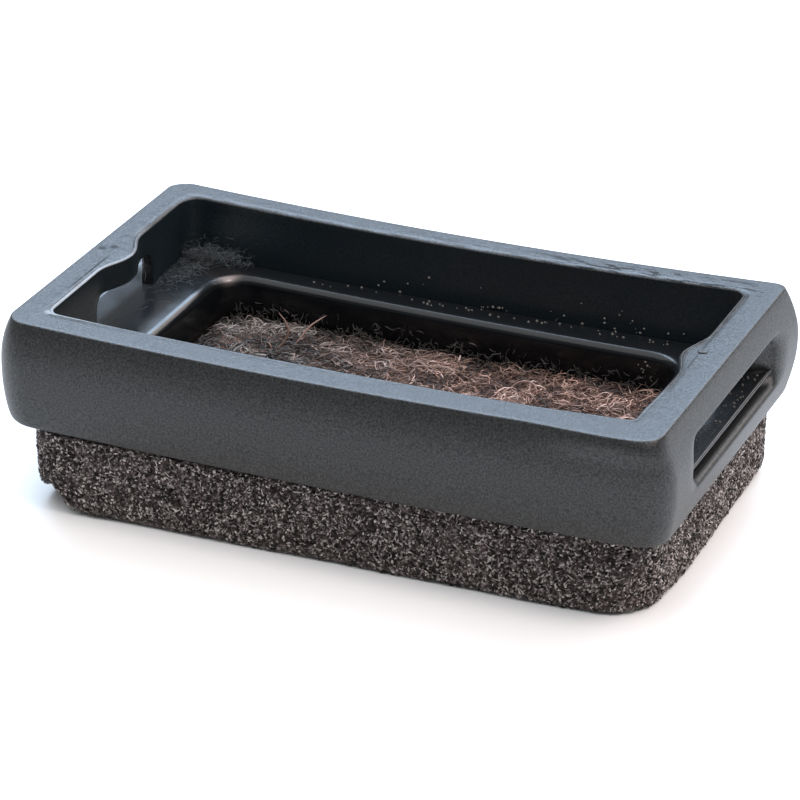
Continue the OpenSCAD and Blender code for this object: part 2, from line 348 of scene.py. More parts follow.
def sag(points):
    """How the soft sleeve hangs: its rim dips along the middle and its back wall leans in there.

    All offsets fade out with a square or a cubic step. The right end stands out a little and the left rim
    in, and the pocket's mouth sits a little to the right and back of its foot. At the right front the rim is
    wider: its corner stands out, and its inner edge comes in.
    """
    x, y, z = points.T
    height = np.clip((z - FOOT_Z) / (RIM_Z - FOOT_Z), 0, 1)
    from_middle = (x / RIM_HALF[0]) ** 2
    hung = bow(points)
    hung[:, 2] += height * (0.24 * from_middle - 0.2)
    hung[:, 1] -= 0.2 * (1 - from_middle) * smooth_step((y - 9) / 5) * smooth_step((z - 12.2) / 5)
    hung[:, 0] += (0.35 + 0.15 * smooth_step((16.5 - z) / 3)) * smooth_step((x - 28.4) / 1.6)
    hung[:, 0] += 0.22 * smooth_step((-x - 27) / 2) * smooth_step((z - 13) / 4)
    upper = smooth_step((z - 12.4) / 5)
    hung[:, 1] += 0.42 * upper * smooth_step((y - 12.5) / 1.2) * smooth_step((16.8 - y) / 2.2)
    right = 0.17 - 0.36 * smooth_step((-y - 4.5) / 9)
    hung[:, 0] += right * upper * smooth_step((x - 25.5) / 1.2) * smooth_step((29.3 - x) / 1.6)
    corner = upper * smooth_step((x - 18) / 9)
    hung[:, 1] += 0.25 * corner * smooth_step((-y - 12.5) / 1.2) * smooth_step((16.2 + y) / 1.6)
    hung[:, 1] -= 0.45 * corner * smooth_step((-y - 15.2) / 1.4) * smooth_step((z - 15) / 2)
    hung[:, 0] += (0.12 - 0.012 * y) * upper * smooth_step((-x - 25.5) / 1.2) * smooth_step((29.3 + x) / 1.6)
    return hung


def linear(hex_colour):
    """Turns an sRGB hex value into linear RGBA."""
    channels = np.array([int(hex_colour[i : i + 2], 16) for i in (1, 3, 5)]) / 255
    return (*np.where(channels <= 0.04045, channels / 12.92, ((channels + 0.055) / 1.055) ** 2.4), 1.0)


def add_node(material, kind, inputs=(), **settings):
    """Adds one shader node, sets its options, and fills or links its inputs by name or number."""
    node = material.node_tree.nodes.new(kind)
    for key, value in settings.items():
        setattr(node, key, value)
    for key, value in dict(inputs).items():
        if isinstance(value, bpy.types.NodeSocket):
            material.node_tree.links.new(value, node.inputs[key])
        else:
            node.inputs[key].default_value = value
    return node


def new_material(name):
    """An empty node material with its shader and its object coordinates."""
    material = bpy.data.materials.new(name)
    material.use_nodes = True
    shader = material.node_tree.nodes["Principled BSDF"]
    place = add_node(material, "ShaderNodeTexCoord").outputs["Object"]
    return material, shader, place


def stored(material, name):
    """The value that a mesh stores per point under that name."""
    return add_node(material, "ShaderNodeAttribute", attribute_name=name).outputs["Fac"]


def mix_colour(material, factor, low, high):
    """Mixes two colours by a factor; each is a hex value or another node's colour."""
    mix = add_node(material, "ShaderNodeMix", {"Factor": factor}, data_type="RGBA")
    for socket, colour in ((mix.inputs["A"], low), (mix.inputs["B"], high)):
        if isinstance(colour, str):
            socket.default_value = linear(colour)
        else:
            material.node_tree.links.new(colour, socket)
    return mix.outputs["Result"]


def noise(material, place, size, detail):
    """A noise pattern of that size in millimetres, on coordinates in metres."""
    inputs = {"Vector": place, "Scale": 1 / (size * MM), "Detail": detail}
    return add_node(material, "ShaderNodeTexNoise", inputs).outputs["Fac"]


def remap(material, value, low, high, to_low=0.0, to_high=1.0):
    """Maps a range of values to another and holds it at both ends."""
    ends = {"Value": value, "From Min": low, "From Max": high, "To Min": to_low, "To Max": to_high}
    return add_node(material, "ShaderNodeMapRange", ends).outputs[0]


def maths(material, operation, *values):
    """One arithmetic node on numbers or other nodes' values."""
    return add_node(material, "ShaderNodeMath", dict(enumerate(values)), operation=operation).outputs[0]


def bump(material, height, strength, depth):
    """A normal that follows a height pattern of that depth in millimetres."""
    inputs = {"Height": height, "Strength": strength, "Distance": depth * MM}
    return add_node(material, "ShaderNodeBump", inputs).outputs["Normal"]


def ramp(material, value, stops):
    """A colour along a value; each stop is a position from 0 to 1 and a hex value, in rising order."""
    node = add_node(material, "ShaderNodeValToRGB", {"Fac": value})
    first, last = node.color_ramp.elements
    first.position, first.color = stops[0][0], linear(stops[0][1])
    last.position, last.color = stops[-1][0], linear(stops[-1][1])
    for position, colour in stops[1:-1]:
        node.color_ramp.elements.new(position).color = linear(colour)
    return node.outputs["Color"]


# Spark-eroded thermoplastic rubber: a fine even grain that breaks up the light, slight clouding from the
# melt, dull scuffs drawn out behind the pocket's mouth where the core was pulled, a broken line across both
# ends where the core's halves met, and two nicks on the left nub. A painted highlight lies along the bead at
# the left: a pale grey in place of the light that the bead catches. The core side is smoother and blacker.
# The grain is 0.05 mm, drawn at 0.18 mm to show.
WITNESS_ENDS = (-27.79, 27.9)
WITNESS_HALF = 0.09
NICKS = np.array([[-28.24, 0.79, 17.75], [-29.09, 0.18, 17.75]])
NICK_RADII = (0.25, 0.6)
rubber, shader, place = new_material("eroded_thermoplastic_rubber")
core = stored(rubber, "core_side")
scuffed = stored(rubber, "scuffed")
grain = noise(rubber, place, 0.18, 2.0)
painted_highlight = stored(rubber, "painted_highlight")
skin = mix_colour(rubber, noise(rubber, place, 5.0, 3.0), "#171818", "#202121")
speckled = mix_colour(rubber, remap(rubber, grain, 0.35, 0.65), "#0b0c0c", skin)
sided = mix_colour(rubber, core, speckled, "#121b20")
# Painted highlight: the bead at the left is mixed towards pale grey to stand in for the light it catches.
bead_with_painted_highlight = mix_colour(rubber, painted_highlight, sided, "#7d848b")
drawn = add_node(rubber, "ShaderNodeMapping", {"Vector": place, "Scale": (0.2, 1.0, 1.0)}).outputs[0]
scuffs = remap(rubber, noise(rubber, drawn, 0.45, 4.0), 0.5, 0.58)
scuff = maths(rubber, "MULTIPLY", scuffs, scuffed)
along = add_node(rubber, "ShaderNodeSeparateXYZ", {"Vector": place}).outputs["X"]
witness = stored(rubber, "witness")
breaks = remap(rubber, noise(rubber, place, 1.6, 2.0), 0.3, 0.42)
broken = maths(rubber, "MULTIPLY", breaks, witness)
worn_marks = []
for end in WITNESS_ENDS:
    line = maths(rubber, "COMPARE", along, end * MM, WITNESS_HALF * MM)
    worn_marks.append(maths(rubber, "MULTIPLY", line, broken))
for nick in NICKS * MM:
    away = add_node(rubber, "ShaderNodeVectorMath", {0: place, 1: nick}, operation="DISTANCE")
    near, far = (radius * MM for radius in NICK_RADII)
    worn_marks.append(remap(rubber, away.outputs["Value"], near, far, 0.9, 0.0))
for mark in worn_marks:
    scuff = maths(rubber, "MAXIMUM", scuff, mark)
dull = remap(rubber, scuff, 0.0, 1.0, 1.0, 0.2)
pores = remap(rubber, grain, 0.3, 0.7, 0.35, 0.65)
gloss = maths(rubber, "MULTIPLY", pores, dull)
rough = remap(rubber, core, 0.0, 1.0, 0.43, 0.34)
depth = remap(rubber, core, 0.0, 1.0, 0.8, 0.1)
pitted = bump(rubber, grain, depth, 0.04)
links = rubber.node_tree.links
links.new(bead_with_painted_highlight, shader.inputs["Base Color"])
links.new(gloss, shader.inputs["Specular IOR Level"])
links.new(rough, shader.inputs["Roughness"])
links.new(pitted, shader.inputs["Normal"])
shader.inputs["IOR"].default_value = 1.5

x, y, z = sleeve_points.T
inside = (np.abs(x) < 27.55) & (np.abs(y) < 14.25) & (z < 17.6)
near_mouth = (z > 17.6) & (np.abs(x) < 28.7) & (np.abs(y) < 16.0)
pulled = np.where(y > 13, 0.3 + 0.7 * smooth_step((x - 4) / 8), np.where(y < -13, 0.0, 0.3))
# The painted highlight's mask: the top of the mouth's bead towards the pocket's left end.
on_bead = (z > 17.64) & (np.abs(x) < 27.6) & (np.abs(y) < 14.3)
bead_left = smooth_step((-x - 20) / 6) * smooth_step((8 - y) / 12)
on_end = (z > 17.5) & (np.abs(x) > 27.3)
line_left = smooth_step((-0.4 - y) / 1.5) * smooth_step((y + 10) / 2) * (x < 0)
line_right = 0.75 * smooth_step((y + 4) / 1.5) * smooth_step((10 - y) / 2) * (x > 0)
marks = {"core_side": inside, "scuffed": near_mouth * pulled, "painted_highlight": on_bead * bead_left}
marks["witness"] = on_end * (line_left + line_right)
sleeve_skin = sag(raise_nubs(sleeve_points))
sleeve = add_piece("sleeve_skin", sleeve_skin, sleeve_faces, rubber, marks)
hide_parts("sleeve")

# Gate stub. The short stub of rubber left on the right nub where the runner was cut off, torn hollow in the
# middle. It is one with the sleeve.
STUB_PLACE = np.array([27.95, 0.84, RIM_Z])
stub_profile = np.array(
    [[0, -0.1], [0.5, -0.1], [0.5, 0.02], [0.38, 0.13], [0.22, 0.1], [0.1, 0.03], [0, 0.02]]
)
stub_turn = np.linspace(0, 2 * math.pi, 14, endpoint=False)
stub_around = np.stack([np.cos(stub_turn), 0.7 * np.sin(stub_turn), 0 * stub_turn], axis=-1)
stub_grid = stub_profile[:, :1, None] * stub_around + stub_profile[:, 1:, None] * np.array([0.0, 0.0, 1.0])
stub_points, stub_faces = weld(stub_grid, grid_quads(*stub_grid.shape[:2]))
stub_points = sag(stub_points + STUB_PLACE)
add_piece("gate_stub", stub_points, stub_faces, rubber)

# Carrier. A hard plate moulded in black polypropylene: the ledge that the leg stands on, round an open well
# with a rolled edge. At each end a tongue passes through the sleeve's window, and its dovetail head, with a
# low border, locks behind the web.
LEDGE_Z = 12.05
CARRIER_HALF = (27.18, 13.88)
FIT_GAP = 0.12
CARRIER_CORNERS = POCKET_CORNERS - FIT_GAP
LEDGE_ROUND = 0.12
WELL_HALF = (22.65, 10.9)
WELL_SHIFT = 0.55
WELL_CORNER = 3.0
WELL_EDGE = 0.9
TONGUE_TOP_Z = 11.85
TONGUE_THICK = 1.15
TONGUE_X = (26.3, 31.08)
TONGUE_EDGE = 0.26
TONGUE_UNDERCUT = 0.75
TONGUE_BORDER = 0.12

roll = np.radians(np.linspace(0, 90, 10))
ledge_edge = np.radians(np.linspace(0, 90, 5))
outer_z = LEDGE_Z - LEDGE_ROUND + LEDGE_ROUND * np.sin(ledge_edge)
outer_z = np.concatenate([[SEAT_Z, 9.0, 10.5, 11.6], outer_z])
outer_grow = np.concatenate([np.zeros(4), LEDGE_ROUND * np.cos(ledge_edge) - LEDGE_ROUND])
well_z = np.concatenate([LEDGE_Z - WELL_EDGE + WELL_EDGE * np.cos(roll), [10.2, 9.0, SEAT_Z]])
well_grow = np.concatenate([WELL_EDGE - WELL_EDGE * np.sin(roll), np.zeros(3)])
carrier_rows = np.concatenate(
    [
        plan_rows(CARRIER_HALF, outer_grow, CARRIER_CORNERS + outer_grow[:, None], outer_z),
        plan_rows(WELL_HALF, well_grow, WELL_CORNER + well_grow[:, None], well_z),
    ]
)
carrier_loop = rounded_loop(60, 100, 12)
carrier_grid = rounded_rows(carrier_loop, carrier_rows)
carrier_quads = grid_quads(*carrier_grid.shape[:2], close_rows=True)

# The well has shrunk a little askew: it lies to the right, and its back edge comes forward there.
well_part = carrier_grid[len(outer_z) :]
well_part[..., 0] += WELL_SHIFT
well_part[..., 1] -= (0.15 + 0.02 * well_part[..., 0]) * smooth_step((well_part[..., 1] - 4) / 5)


def tongue():
    """A neck through the window and a dovetail head behind the web, carried across from side to side.

    Rows run across the tongue. Each is a rounded outline in X and Z whose end face leans in below. Near each
    side the outline draws in on a quarter circle, and then closes to a line. The border rises by a cubic
    step.
    """
    turn = np.radians(np.linspace(0, 90, 6))
    shrink = TONGUE_EDGE - TONGUE_EDGE * np.sin(turn)
    inset = np.concatenate([[TONGUE_THICK / 2], shrink, np.zeros(12), shrink[::-1], [TONGUE_THICK / 2]])
    near = np.concatenate([[0.0], TONGUE_EDGE - TONGUE_EDGE * np.cos(turn), [0.4, 0.55, 0.75]])
    near = np.concatenate([near, np.zeros(6), near[::-1]])[:, None]
    spread = np.concatenate([-np.ones(10), np.linspace(-1, 1, 8)[1:-1], np.ones(10)])[:, None]
    half_long = (TONGUE_X[1] - TONGUE_X[0]) / 2
    corners = np.maximum(TONGUE_EDGE - inset, 0)[:, None]
    rows = plan_rows((half_long, TONGUE_THICK / 2), -inset, corners, 0.0)
    ring = rounded_rows(rounded_loop(6, 40, 6), rows)
    x = ring[..., 0] + sum(TONGUE_X) / 2
    below = np.clip(0.35 - ring[..., 1] / TONGUE_THICK, 0, 1) * smooth_step((x - 29.6) / 1.2)
    taper = (SLOT_HALF_OUT - SLOT_HALF_IN) / (RIM_HALF[0] + SWELL - WEB_X)
    head = SLOT_HALF_IN + taper * (x - WEB_X)
    half = np.where(x < WEB_X + FIT_GAP, WINDOW_HALF, head) - FIT_GAP
    y = spread * (half - near)
    to_edge = np.minimum(half - np.abs(y), TONGUE_X[1] - x)
    ridge = smooth_step((0.75 - to_edge) / 0.5) * smooth_step((x - 28.6) / 0.4) * (ring[..., 1] > 0)
    z = ring[..., 1] + TONGUE_TOP_Z - TONGUE_THICK / 2 + TONGUE_BORDER * ridge
    return np.stack([x - TONGUE_UNDERCUT * below, y, z], axis=-1)


tongue_grid = tongue()
tongue_quads = grid_quads(*tongue_grid.shape[:2])[:, ::-1]
half_turn = np.array([-1.0, -1.0, 1.0])
off_middle = np.array([0.0, SLOT_SHIFT, 0.0])
tongues = np.concatenate([tongue_grid + off_middle, tongue_grid * half_turn + off_middle]).reshape(-1, 3)
first_tongue = carrier_grid[..., 0].size
second_tongue = first_tongue + tongue_grid[..., 0].size
carrier_faces = np.concatenate([carrier_quads, tongue_quads + first_tongue, tongue_quads + second_tongue])
carrier_points, carrier_faces = weld(np.concatenate([carrier_grid.reshape(-1, 3), tongues]), carrier_faces)

# Moulded black polypropylene: a soft half gloss, greyed by fine dust on what faces up, most at the ends,
# where the grey is partly a painted light on the tongues and the left ledge lit through the slots; and a
# painted highlight, a pale spot, on the well's left back corner.
black_plastic, shader, place = new_material("moulded_black_polypropylene")
haze = noise(black_plastic, place, 3.0, 5.0)
fine = noise(black_plastic, place, 0.3, 3.0)
dust_and_painted_light = stored(black_plastic, "dust_and_painted_light")
painted_highlight = stored(black_plastic, "painted_highlight")
# Fine dust greys what faces up; at the ends the same mix is partly a painted light.
dust_and_light_film = maths(black_plastic, "MULTIPLY", dust_and_painted_light, fine)
ripple = bump(black_plastic, fine, 0.1, 0.03)
links = black_plastic.node_tree.links
plain = mix_colour(black_plastic, haze, "#08090a", "#121518")
dust_and_light_colour = mix_colour(black_plastic, dust_and_light_film, plain, "#464d53")
# The pale mix is a painted highlight on the well's left back corner.
links.new(mix_colour(black_plastic, painted_highlight, dust_and_light_colour, "#8a7d7b"), shader.inputs["Base Color"])
links.new(remap(black_plastic, haze, 0.3, 0.7, 0.15, 0.24), shader.inputs["Roughness"])
links.new(ripple, shader.inputs["Normal"])
shader.inputs["Specular IOR Level"].default_value = 0.3
x, y, z = carrier_points.T
# Dust on what faces up everywhere, more at the left end and on the right tongue. There it is partly painted
# light: the tongues and the left ledge, lit through the slots, are lightened towards a blue grey.
dust_and_light_share = 0.06 + 0.14 * smooth_step((-22.5 - x) / 2.5) + 0.36 * smooth_step((-26.8 - x) / 0.6)
dust_and_light_share = dust_and_light_share + (0.6 - 0.06 * y) * smooth_step((x - 28) / 0.5)
# A painted highlight: a pale spot along the rolled edge at the well's left back corner.
corner_along = (x + 21.5 + y - 10.5) * math.sqrt(0.5)
corner_across = (x + 21.5 - y + 10.5) * math.sqrt(0.5)
highlight_spot = np.exp(-((corner_along / 0.9) ** 2) - ((corner_across + 0.05) / 0.26) ** 2) * (z > 11.2)
marks = {"dust_and_painted_light": dust_and_light_share * smooth_step((z - 11.7) / 0.15), "painted_highlight": highlight_spot}
carrier = add_piece(
    "carrier_plate", bow(carrier_points), carrier_faces, black_plastic, marks
)
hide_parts("felt_carrier")

# Bond film. Amber hot-melt adhesive, rolled on as a thin ring and pressed between the felt and the
# mouldings. It stays back from the felt's edge and from the well.
FILM_OUT = (28.5, 15.5)
FILM_IN = (23.45, 11.7)
FILM_CORNERS = (3.5, 3.8)
FILM_Z = [7.6, SEAT_Z]
film_outside = plan_rows(FILM_OUT, [0.0, 0.0], FILM_CORNERS[0], FILM_Z)
film_inside = plan_rows(FILM_IN, [0.0, 0.0], FILM_CORNERS[1], FILM_Z[::-1])
film_rows = np.concatenate([film_outside, film_inside])
film_grid = rounded_rows(carrier_loop, film_rows)
film_grid[2:, :, 0] += WELL_SHIFT
film_quads = grid_quads(*film_grid.shape[:2], close_rows=True)

# Hot-melt adhesive: waxy and amber, with a faint ripple from the roller.
hot_melt, shader, place = new_material("amber_hot_melt")
wax = noise(hot_melt, place, 2.0, 3.0)
ripple = bump(hot_melt, wax, 0.3, 0.05)
hot_melt.node_tree.links.new(mix_colour(hot_melt, wax, "#b89a5c", "#d8c08a"), shader.inputs["Base Color"])
hot_melt.node_tree.links.new(ripple, shader.inputs["Normal"])
shader.inputs["Roughness"].default_value = 0.4
film = add_piece("hot_melt_film", bow(film_grid.reshape(-1, 3)), film_quads, hot_melt)
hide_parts("bond_film")

# Felt sole. A block die-cut from thick needled felt of recycled wool and synthetic fibres, mixed dark brown,
# black and grey. It is glued under the carrier and the sleeve, a little to the right, with its long sides
# slightly askew, crowns up into the well, and is torn at its lower left front corner.
FELT_HALF = (28.8, 16.3)
FELT_SHIFT = 0.35
FELT_SIDES_SHIFT = (0.4, -0.25)
FELT_SKEW = 0.025
FELT_CORNERS = np.array([3.2, 5.0, 3.5, 1.6])
FELT_TOP = 7.6
FELT_EDGE = 0.9


def lumps(points, cell, seed):
    """A random offset in all three directions, smooth over a cell."""
    return np.stack([lattice_noise(points, cell, seed + i) for i in range(3)], axis=-1)


def fray(points):
    """The torn lower corner at the left front: points near it move up and in by a bell curve, most below."""
    x, y, z = points[..., 0], points[..., 1], points[..., 2]
    near = np.exp(-((x + 27.3) ** 2 / 3 + (y + 15.8) ** 2 / 6))
    weight = near * np.clip(1 - z / 3, 0, 1)
    return points + weight[..., None] * np.array([0.3, 0.2, 2.8])


def settle(points):
    """Bows the felt with the mouldings above it, but keeps it on the floor, and moves it to its place.

    Its sides are moved and its long sides run at a small angle; both fade in by a cubic step outside the
    well.
    """
    settled = points.copy()
    x, y = points[..., 0], points[..., 1]
    outside = smooth_step((np.maximum(np.abs(x) / FELT_HALF[0], np.abs(y) / FELT_HALF[1]) - 0.76) / 0.2)
    share = np.clip(points[..., 2] / FELT_TOP, 0, 1)
    settled[..., 2] += bow_height(x) * share
    settled[..., 2] += 0.2 * (x / RIM_HALF[0]) ** 4 * (1 - share)
    settled[..., 0] += FELT_SHIFT + outside * FELT_SIDES_SHIFT[0]
    settled[..., 1] += outside * (FELT_SIDES_SHIFT[1] + FELT_SKEW * x)
    return settled


def in_well(points):
    """How far the felt can rise in the well, from 0 at its wall to 1 a little way in."""
    x, y = np.abs(points[..., 0] + FELT_SHIFT - WELL_SHIFT), np.abs(points[..., 1])
    return smooth_step((WELL_HALF[0] - 0.15 - x) / 1.4) * smooth_step((WELL_HALF[1] - 0.15 - y) / 1.2)


felt_turn = np.radians(np.linspace(-90, 0, 7))
bottom_inset = np.concatenate([np.linspace(FELT_HALF[1], 2.0, 16), [1.4]])
top_inset = np.concatenate([[0.12, 0.5, 1.2, 2.2, 3.4, 4.4], np.arange(4.8, 16.2, 0.3), FELT_HALF[1:]])
edge_inset = FELT_EDGE - FELT_EDGE * np.cos(felt_turn)
felt_inset = np.concatenate([bottom_inset, edge_inset, np.zeros(26), top_inset])
felt_z = np.concatenate(
    [
        0 * bottom_inset,
        FELT_EDGE + FELT_EDGE * np.sin(felt_turn),
        np.linspace(FELT_EDGE, FELT_TOP - 0.12, 27)[1:],
        FELT_TOP + 0 * top_inset,
    ]
)
felt_corners = np.maximum(FELT_CORNERS - felt_inset[:, None], 0)
felt_loop = rounded_loop(120, 230, 36)
felt_grid = rounded_rows(felt_loop, plan_rows(FELT_HALF, -felt_inset, felt_corners, felt_z))
crown = np.where(felt_grid[..., 2] > FELT_TOP - 0.01, in_well(felt_grid), 0)
felt_grid[..., 2] += crown * (0.75 + 0.3 * lattice_noise(felt_grid, 3.0, 31))
pressed = np.where((felt_inset > 0.6) & (felt_z > 7), 0.15, 1)[:, None]
rough_share = np.maximum(np.clip(felt_grid[..., 2] / 1.2, 0.25, 1) * pressed, crown)[..., None]
felt_grid = felt_grid + rough_share * (0.16 * lumps(felt_grid, 0.55, 11) + 0.2 * lumps(felt_grid, 6.0, 21))
felt_grid[..., 2] = np.maximum(felt_grid[..., 2], 0)
felt_points, felt_faces = weld(settle(fray(felt_grid)), grid_quads(*felt_grid.shape[:2]))

# Needled felt: mixed fibres lie matted in all directions, so dark brown, black and grey show side by side
# in specks about 0.3 mm across, with no gloss and a soft fuzz at grazing light.
felt, shader, place = new_material("needled_mixed_felt")
mat = noise(felt, place, 0.35, 4.0)
heather = ramp(felt, mat, ((0.36, "#141110"), (0.52, "#3a302e"), (0.72, "#7a706e")))
loose = stored(felt, "loose")
wool_clumps = mix_colour(felt, noise(felt, place, 1.6, 3.0), "#2e2522", "#7c6054")
fuzz = bump(felt, mat, 0.8, 0.2)
felt.node_tree.links.new(mix_colour(felt, loose, heather, wool_clumps), shader.inputs["Base Color"])
felt.node_tree.links.new(fuzz, shader.inputs["Normal"])
shader.inputs["Roughness"].default_value = 0.95
shader.inputs["Specular IOR Level"].default_value = 0.1
shader.inputs["Sheen Weight"].default_value = 0.2
shader.inputs["Sheen Roughness"].default_value = 0.5
unshifted = felt_points - np.array([FELT_SHIFT, 0.0, 0.0])
unpressed = in_well(unshifted) * (felt_points[:, 2] > FELT_TOP - 0.2)
sole = add_piece("felt_block", felt_points, felt_faces, felt, {"loose": unpressed})
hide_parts("felt_sole")

# Felt strands. The fibre ends and matted wisps that stand on the cut sides of the felt, each drawn as a
# strand of several fibres. They grow out of the felt and lie along it in all directions: many cut ends,
# fewer long wisps.


def strands(roots, headings, normals, lengths, radii, curl, lift, seed, steps):
    """Three-sided tubes along curved paths, drawn in to a point at both tips.

    A path goes along its heading, swings sideways by a sine of random phase, and rises off the surface by a
    parabola, so that both tips dip back to the root's level.
    """
    rng = np.random.default_rng(seed)
    count = len(roots)
    t = np.linspace(0, 1, steps + 1)[None, :, None]
    side = np.cross(normals, headings)
    phase = rng.uniform(0, 2 * math.pi, (count, 1, 1))
    waves = rng.uniform(0.4, 1.1, (count, 1, 1)) * 2 * math.pi
    swing = np.sin(waves * t + phase) - np.sin(phase)
    path = roots[:, None] + headings[:, None] * lengths[:, None, None] * (t - 0.5)
    path = path + side[:, None] * (curl * lengths)[:, None, None] * swing
    path = path + normals[:, None] * lift[:, None, None] * (4 * t * (1 - t) - 0.25)
    along = np.gradient(path, axis=1)
    along /= np.linalg.norm(along, axis=-1, keepdims=True)
    across = np.cross(along, normals[:, None] + 0.31 * headings[:, None])
    across /= np.linalg.norm(across, axis=-1, keepdims=True)
    over = np.cross(across, along)
    angles = np.arange(3)[:, None] * 2 * math.pi / 3
    thin = radii[:, None, None] * np.sqrt(np.sin(math.pi * t))
    ring = across[:, :, None] * np.cos(angles) + over[:, :, None] * np.sin(angles)
    body = (path[:, :, None] + ring * thin[:, :, None])[:, 1:-1].reshape(count, -1, 3)
    points = np.concatenate([path[:, :1], path[:, -1:], body], axis=1)
    nodes = np.concatenate([[0, 0, 0], 2 + np.arange(3 * (steps - 1)), [1, 1, 1]])
    quads = nodes[grid_quads(steps + 1, 3)]
    offsets = np.arange(count)[:, None, None] * points.shape[1]
    return points.reshape(-1, 3), (quads[None] + offsets).reshape(-1, 4)


def on_felt_side(count, seed):
    """Random points on the felt's side, even over its area, with their normals and a direction along it."""
    rng = np.random.default_rng(seed)
    loop = rounded_rows(felt_loop, plan_rows(FELT_HALF, [0.0], FELT_CORNERS, 0.0))[0]
    step = np.linalg.norm(np.roll(loop, -1, axis=0) - loop, axis=1)
    column = rng.choice(len(loop), count, p=step / step.sum())
    share = rng.uniform(0, 1, count)[:, None]
    base = loop[column] * (1 - share) + np.roll(loop, -1, axis=0)[column] * share
    out = np.stack([felt_loop[2, column], felt_loop[3, column], np.zeros(count)], axis=-1)
    level = rng.uniform(0.25, FELT_TOP - 0.1, count)
    drop = np.clip(FELT_EDGE - level, 0, FELT_EDGE)
    base = base - out * (FELT_EDGE - np.sqrt(FELT_EDGE**2 - drop**2))[:, None]
    base[:, 2] = level
    return base, out, np.cross([0.0, 0.0, 1.0], out), rng


def side_strands(count, seed, length, radius, lift, steps):
    """Strands scattered over the felt's side, each along its own heading and with its own shade."""
    base, out, along, rng = on_felt_side(count, seed)
    turn = rng.uniform(0, 2 * math.pi, count)[:, None]
    heading = along * np.cos(turn) + np.array([0.0, 0.0, 1.0]) * np.sin(turn)
    lengths = rng.uniform(*length, count)
    radii = rng.uniform(*radius, count)
    rise = rng.uniform(*lift, count) * np.clip(base[:, 2] / 1.5, 0.3, 1)
    curl = rng.uniform(0.05, 0.3, count)
    points, quads = strands(base, heading, out, lengths, radii, curl, rise, seed + 1, steps)
    points = points + 0.2 * lumps(points, 6.0, 21)
    points[:, 2] = np.clip(points[:, 2], 0.02, FELT_TOP - 0.02)
    tint = np.repeat(rng.uniform(0, 1, count), len(points) // count)
    return settle(fray(points)), quads, tint


# Felt fibres: matt, each with its own shade from black through brown to pale grey, stored per strand.
wisp, shader, _ = new_material("mixed_felt_fibres")
shade = stored(wisp, "strand_shade")
fibre_positions = (0.0, 0.25, 0.45, 0.68, 0.88, 1.0)
fibre_colours = ("#131110", "#2b2624", "#514947", "#807775", "#a79f9c", "#cbc3bd")
mixture = ramp(wisp, shade, tuple(zip(fibre_positions, fibre_colours)))
wisp.node_tree.links.new(mixture, shader.inputs["Base Color"])
shader.inputs["Roughness"].default_value = 0.75
shader.inputs["Specular IOR Level"].default_value = 0.25
for name, seed in (("felt_cut_ends_one", 101), ("felt_cut_ends_two", 131), ("felt_cut_ends_three", 161)):
    points, quads, tint = side_strands(9000, seed, (0.3, 0.75), (0.08, 0.14), (0.0, 0.14), 2)
    add_piece(name, points, quads, wisp, {"strand_shade": tint})
points, quads, tint = side_strands(1200, 202, (0.6, 1.3), (0.035, 0.06), (0.05, 0.28), 4)
add_piece("felt_wisps", points, quads, wisp, {"strand_shade": tint})

# Well fuzz. The felt's upper side in the well has not been pressed, so its fibres stand loose and curly
# there, with reddish brown wool among the dark ones, more of it to the right. They are rooted in the felt,
# and wisps of it cling to the well's back wall; these get only dark tints, a painted shade for the shadow
# they lie in by the wall.
rng = np.random.default_rng(303)
count = 7600
roots = rng.uniform(-1, 1, (count, 3)) * np.array([22.3, 10.7, 0.0])
roots[:, 0] += WELL_SHIFT - FELT_SHIFT
room = in_well(roots)
swell = 0.75 + 0.3 * lattice_noise(roots + np.array([0.0, 0.0, FELT_TOP]), 3.0, 31)
roots[:, 2] = FELT_TOP + room * (swell + rng.uniform(-0.05, 0.4, count))
turn = rng.uniform(0, 2 * math.pi, count)
heading = np.stack([np.cos(turn), np.sin(turn), rng.normal(0, 0.15, count)], axis=-1)
upward = np.tile([0.0, 0.0, 1.0], (count, 1))
reach = rng.uniform(0.8, 2.8, count) * (0.45 + 0.55 * room)
radii = rng.uniform(0.035, 0.075, count)
curl, lift = rng.uniform(0.1, 0.32, count), rng.uniform(0, 0.6, count) * room
points, quads = strands(roots, heading, upward, reach, radii, curl, lift, 304, 5)
points[:, 0] = np.clip(points[:, 0], -22.2, 22.6)
points[:, 1] = np.clip(points[:, 1], -10.8, 10.8)

# Loose wool fibres: from black through grey brown or reddish brown to a pale tip, with a soft shine. The
# shade and how red it is are stored per strand.
wool, shader, _ = new_material("loose_wool_fibres")
shade = stored(wool, "strand_shade")
redness = stored(wool, "redness")
mixtures = []
for colours in (
    ("#292726", "#43403e", "#605b58", "#7c7673", "#958f8b", "#aea8a4"),
    ("#2c2321", "#513f39", "#7a6156", "#9a796c", "#ae8b7e", "#c6aba0"),
):
    mixtures.append(ramp(wool, shade, tuple(zip((0.0, 0.25, 0.5, 0.75, 0.9, 1.0), colours))))
wool.node_tree.links.new(mix_colour(wool, redness, *mixtures), shader.inputs["Base Color"])
shader.inputs["Roughness"].default_value = 0.6
shader.inputs["Specular IOR Level"].default_value = 0.3
per_strand = len(points) // count
clumps = 0.45 + 0.55 * lattice_noise(roots, 1.7, 306)
clumps = clumps - 0.12 * smooth_step((4 - roots[:, 0]) / 14)
tint = np.repeat(np.clip(clumps + rng.uniform(-0.3, 0.33, count), 0, 1), per_strand)
red = smooth_step((roots[:, 0] + 20) / 28) + rng.uniform(-0.3, 0.3, count)
red = np.repeat(np.clip(red, 0, 1), per_strand)
add_piece("well_fuzz", settle(points), quads, wool, {"strand_shade": tint, "redness": red})
count = 800
roots = rng.uniform(-1, 1, (count, 3)) * np.array([21.5, 0.35, 0.0])
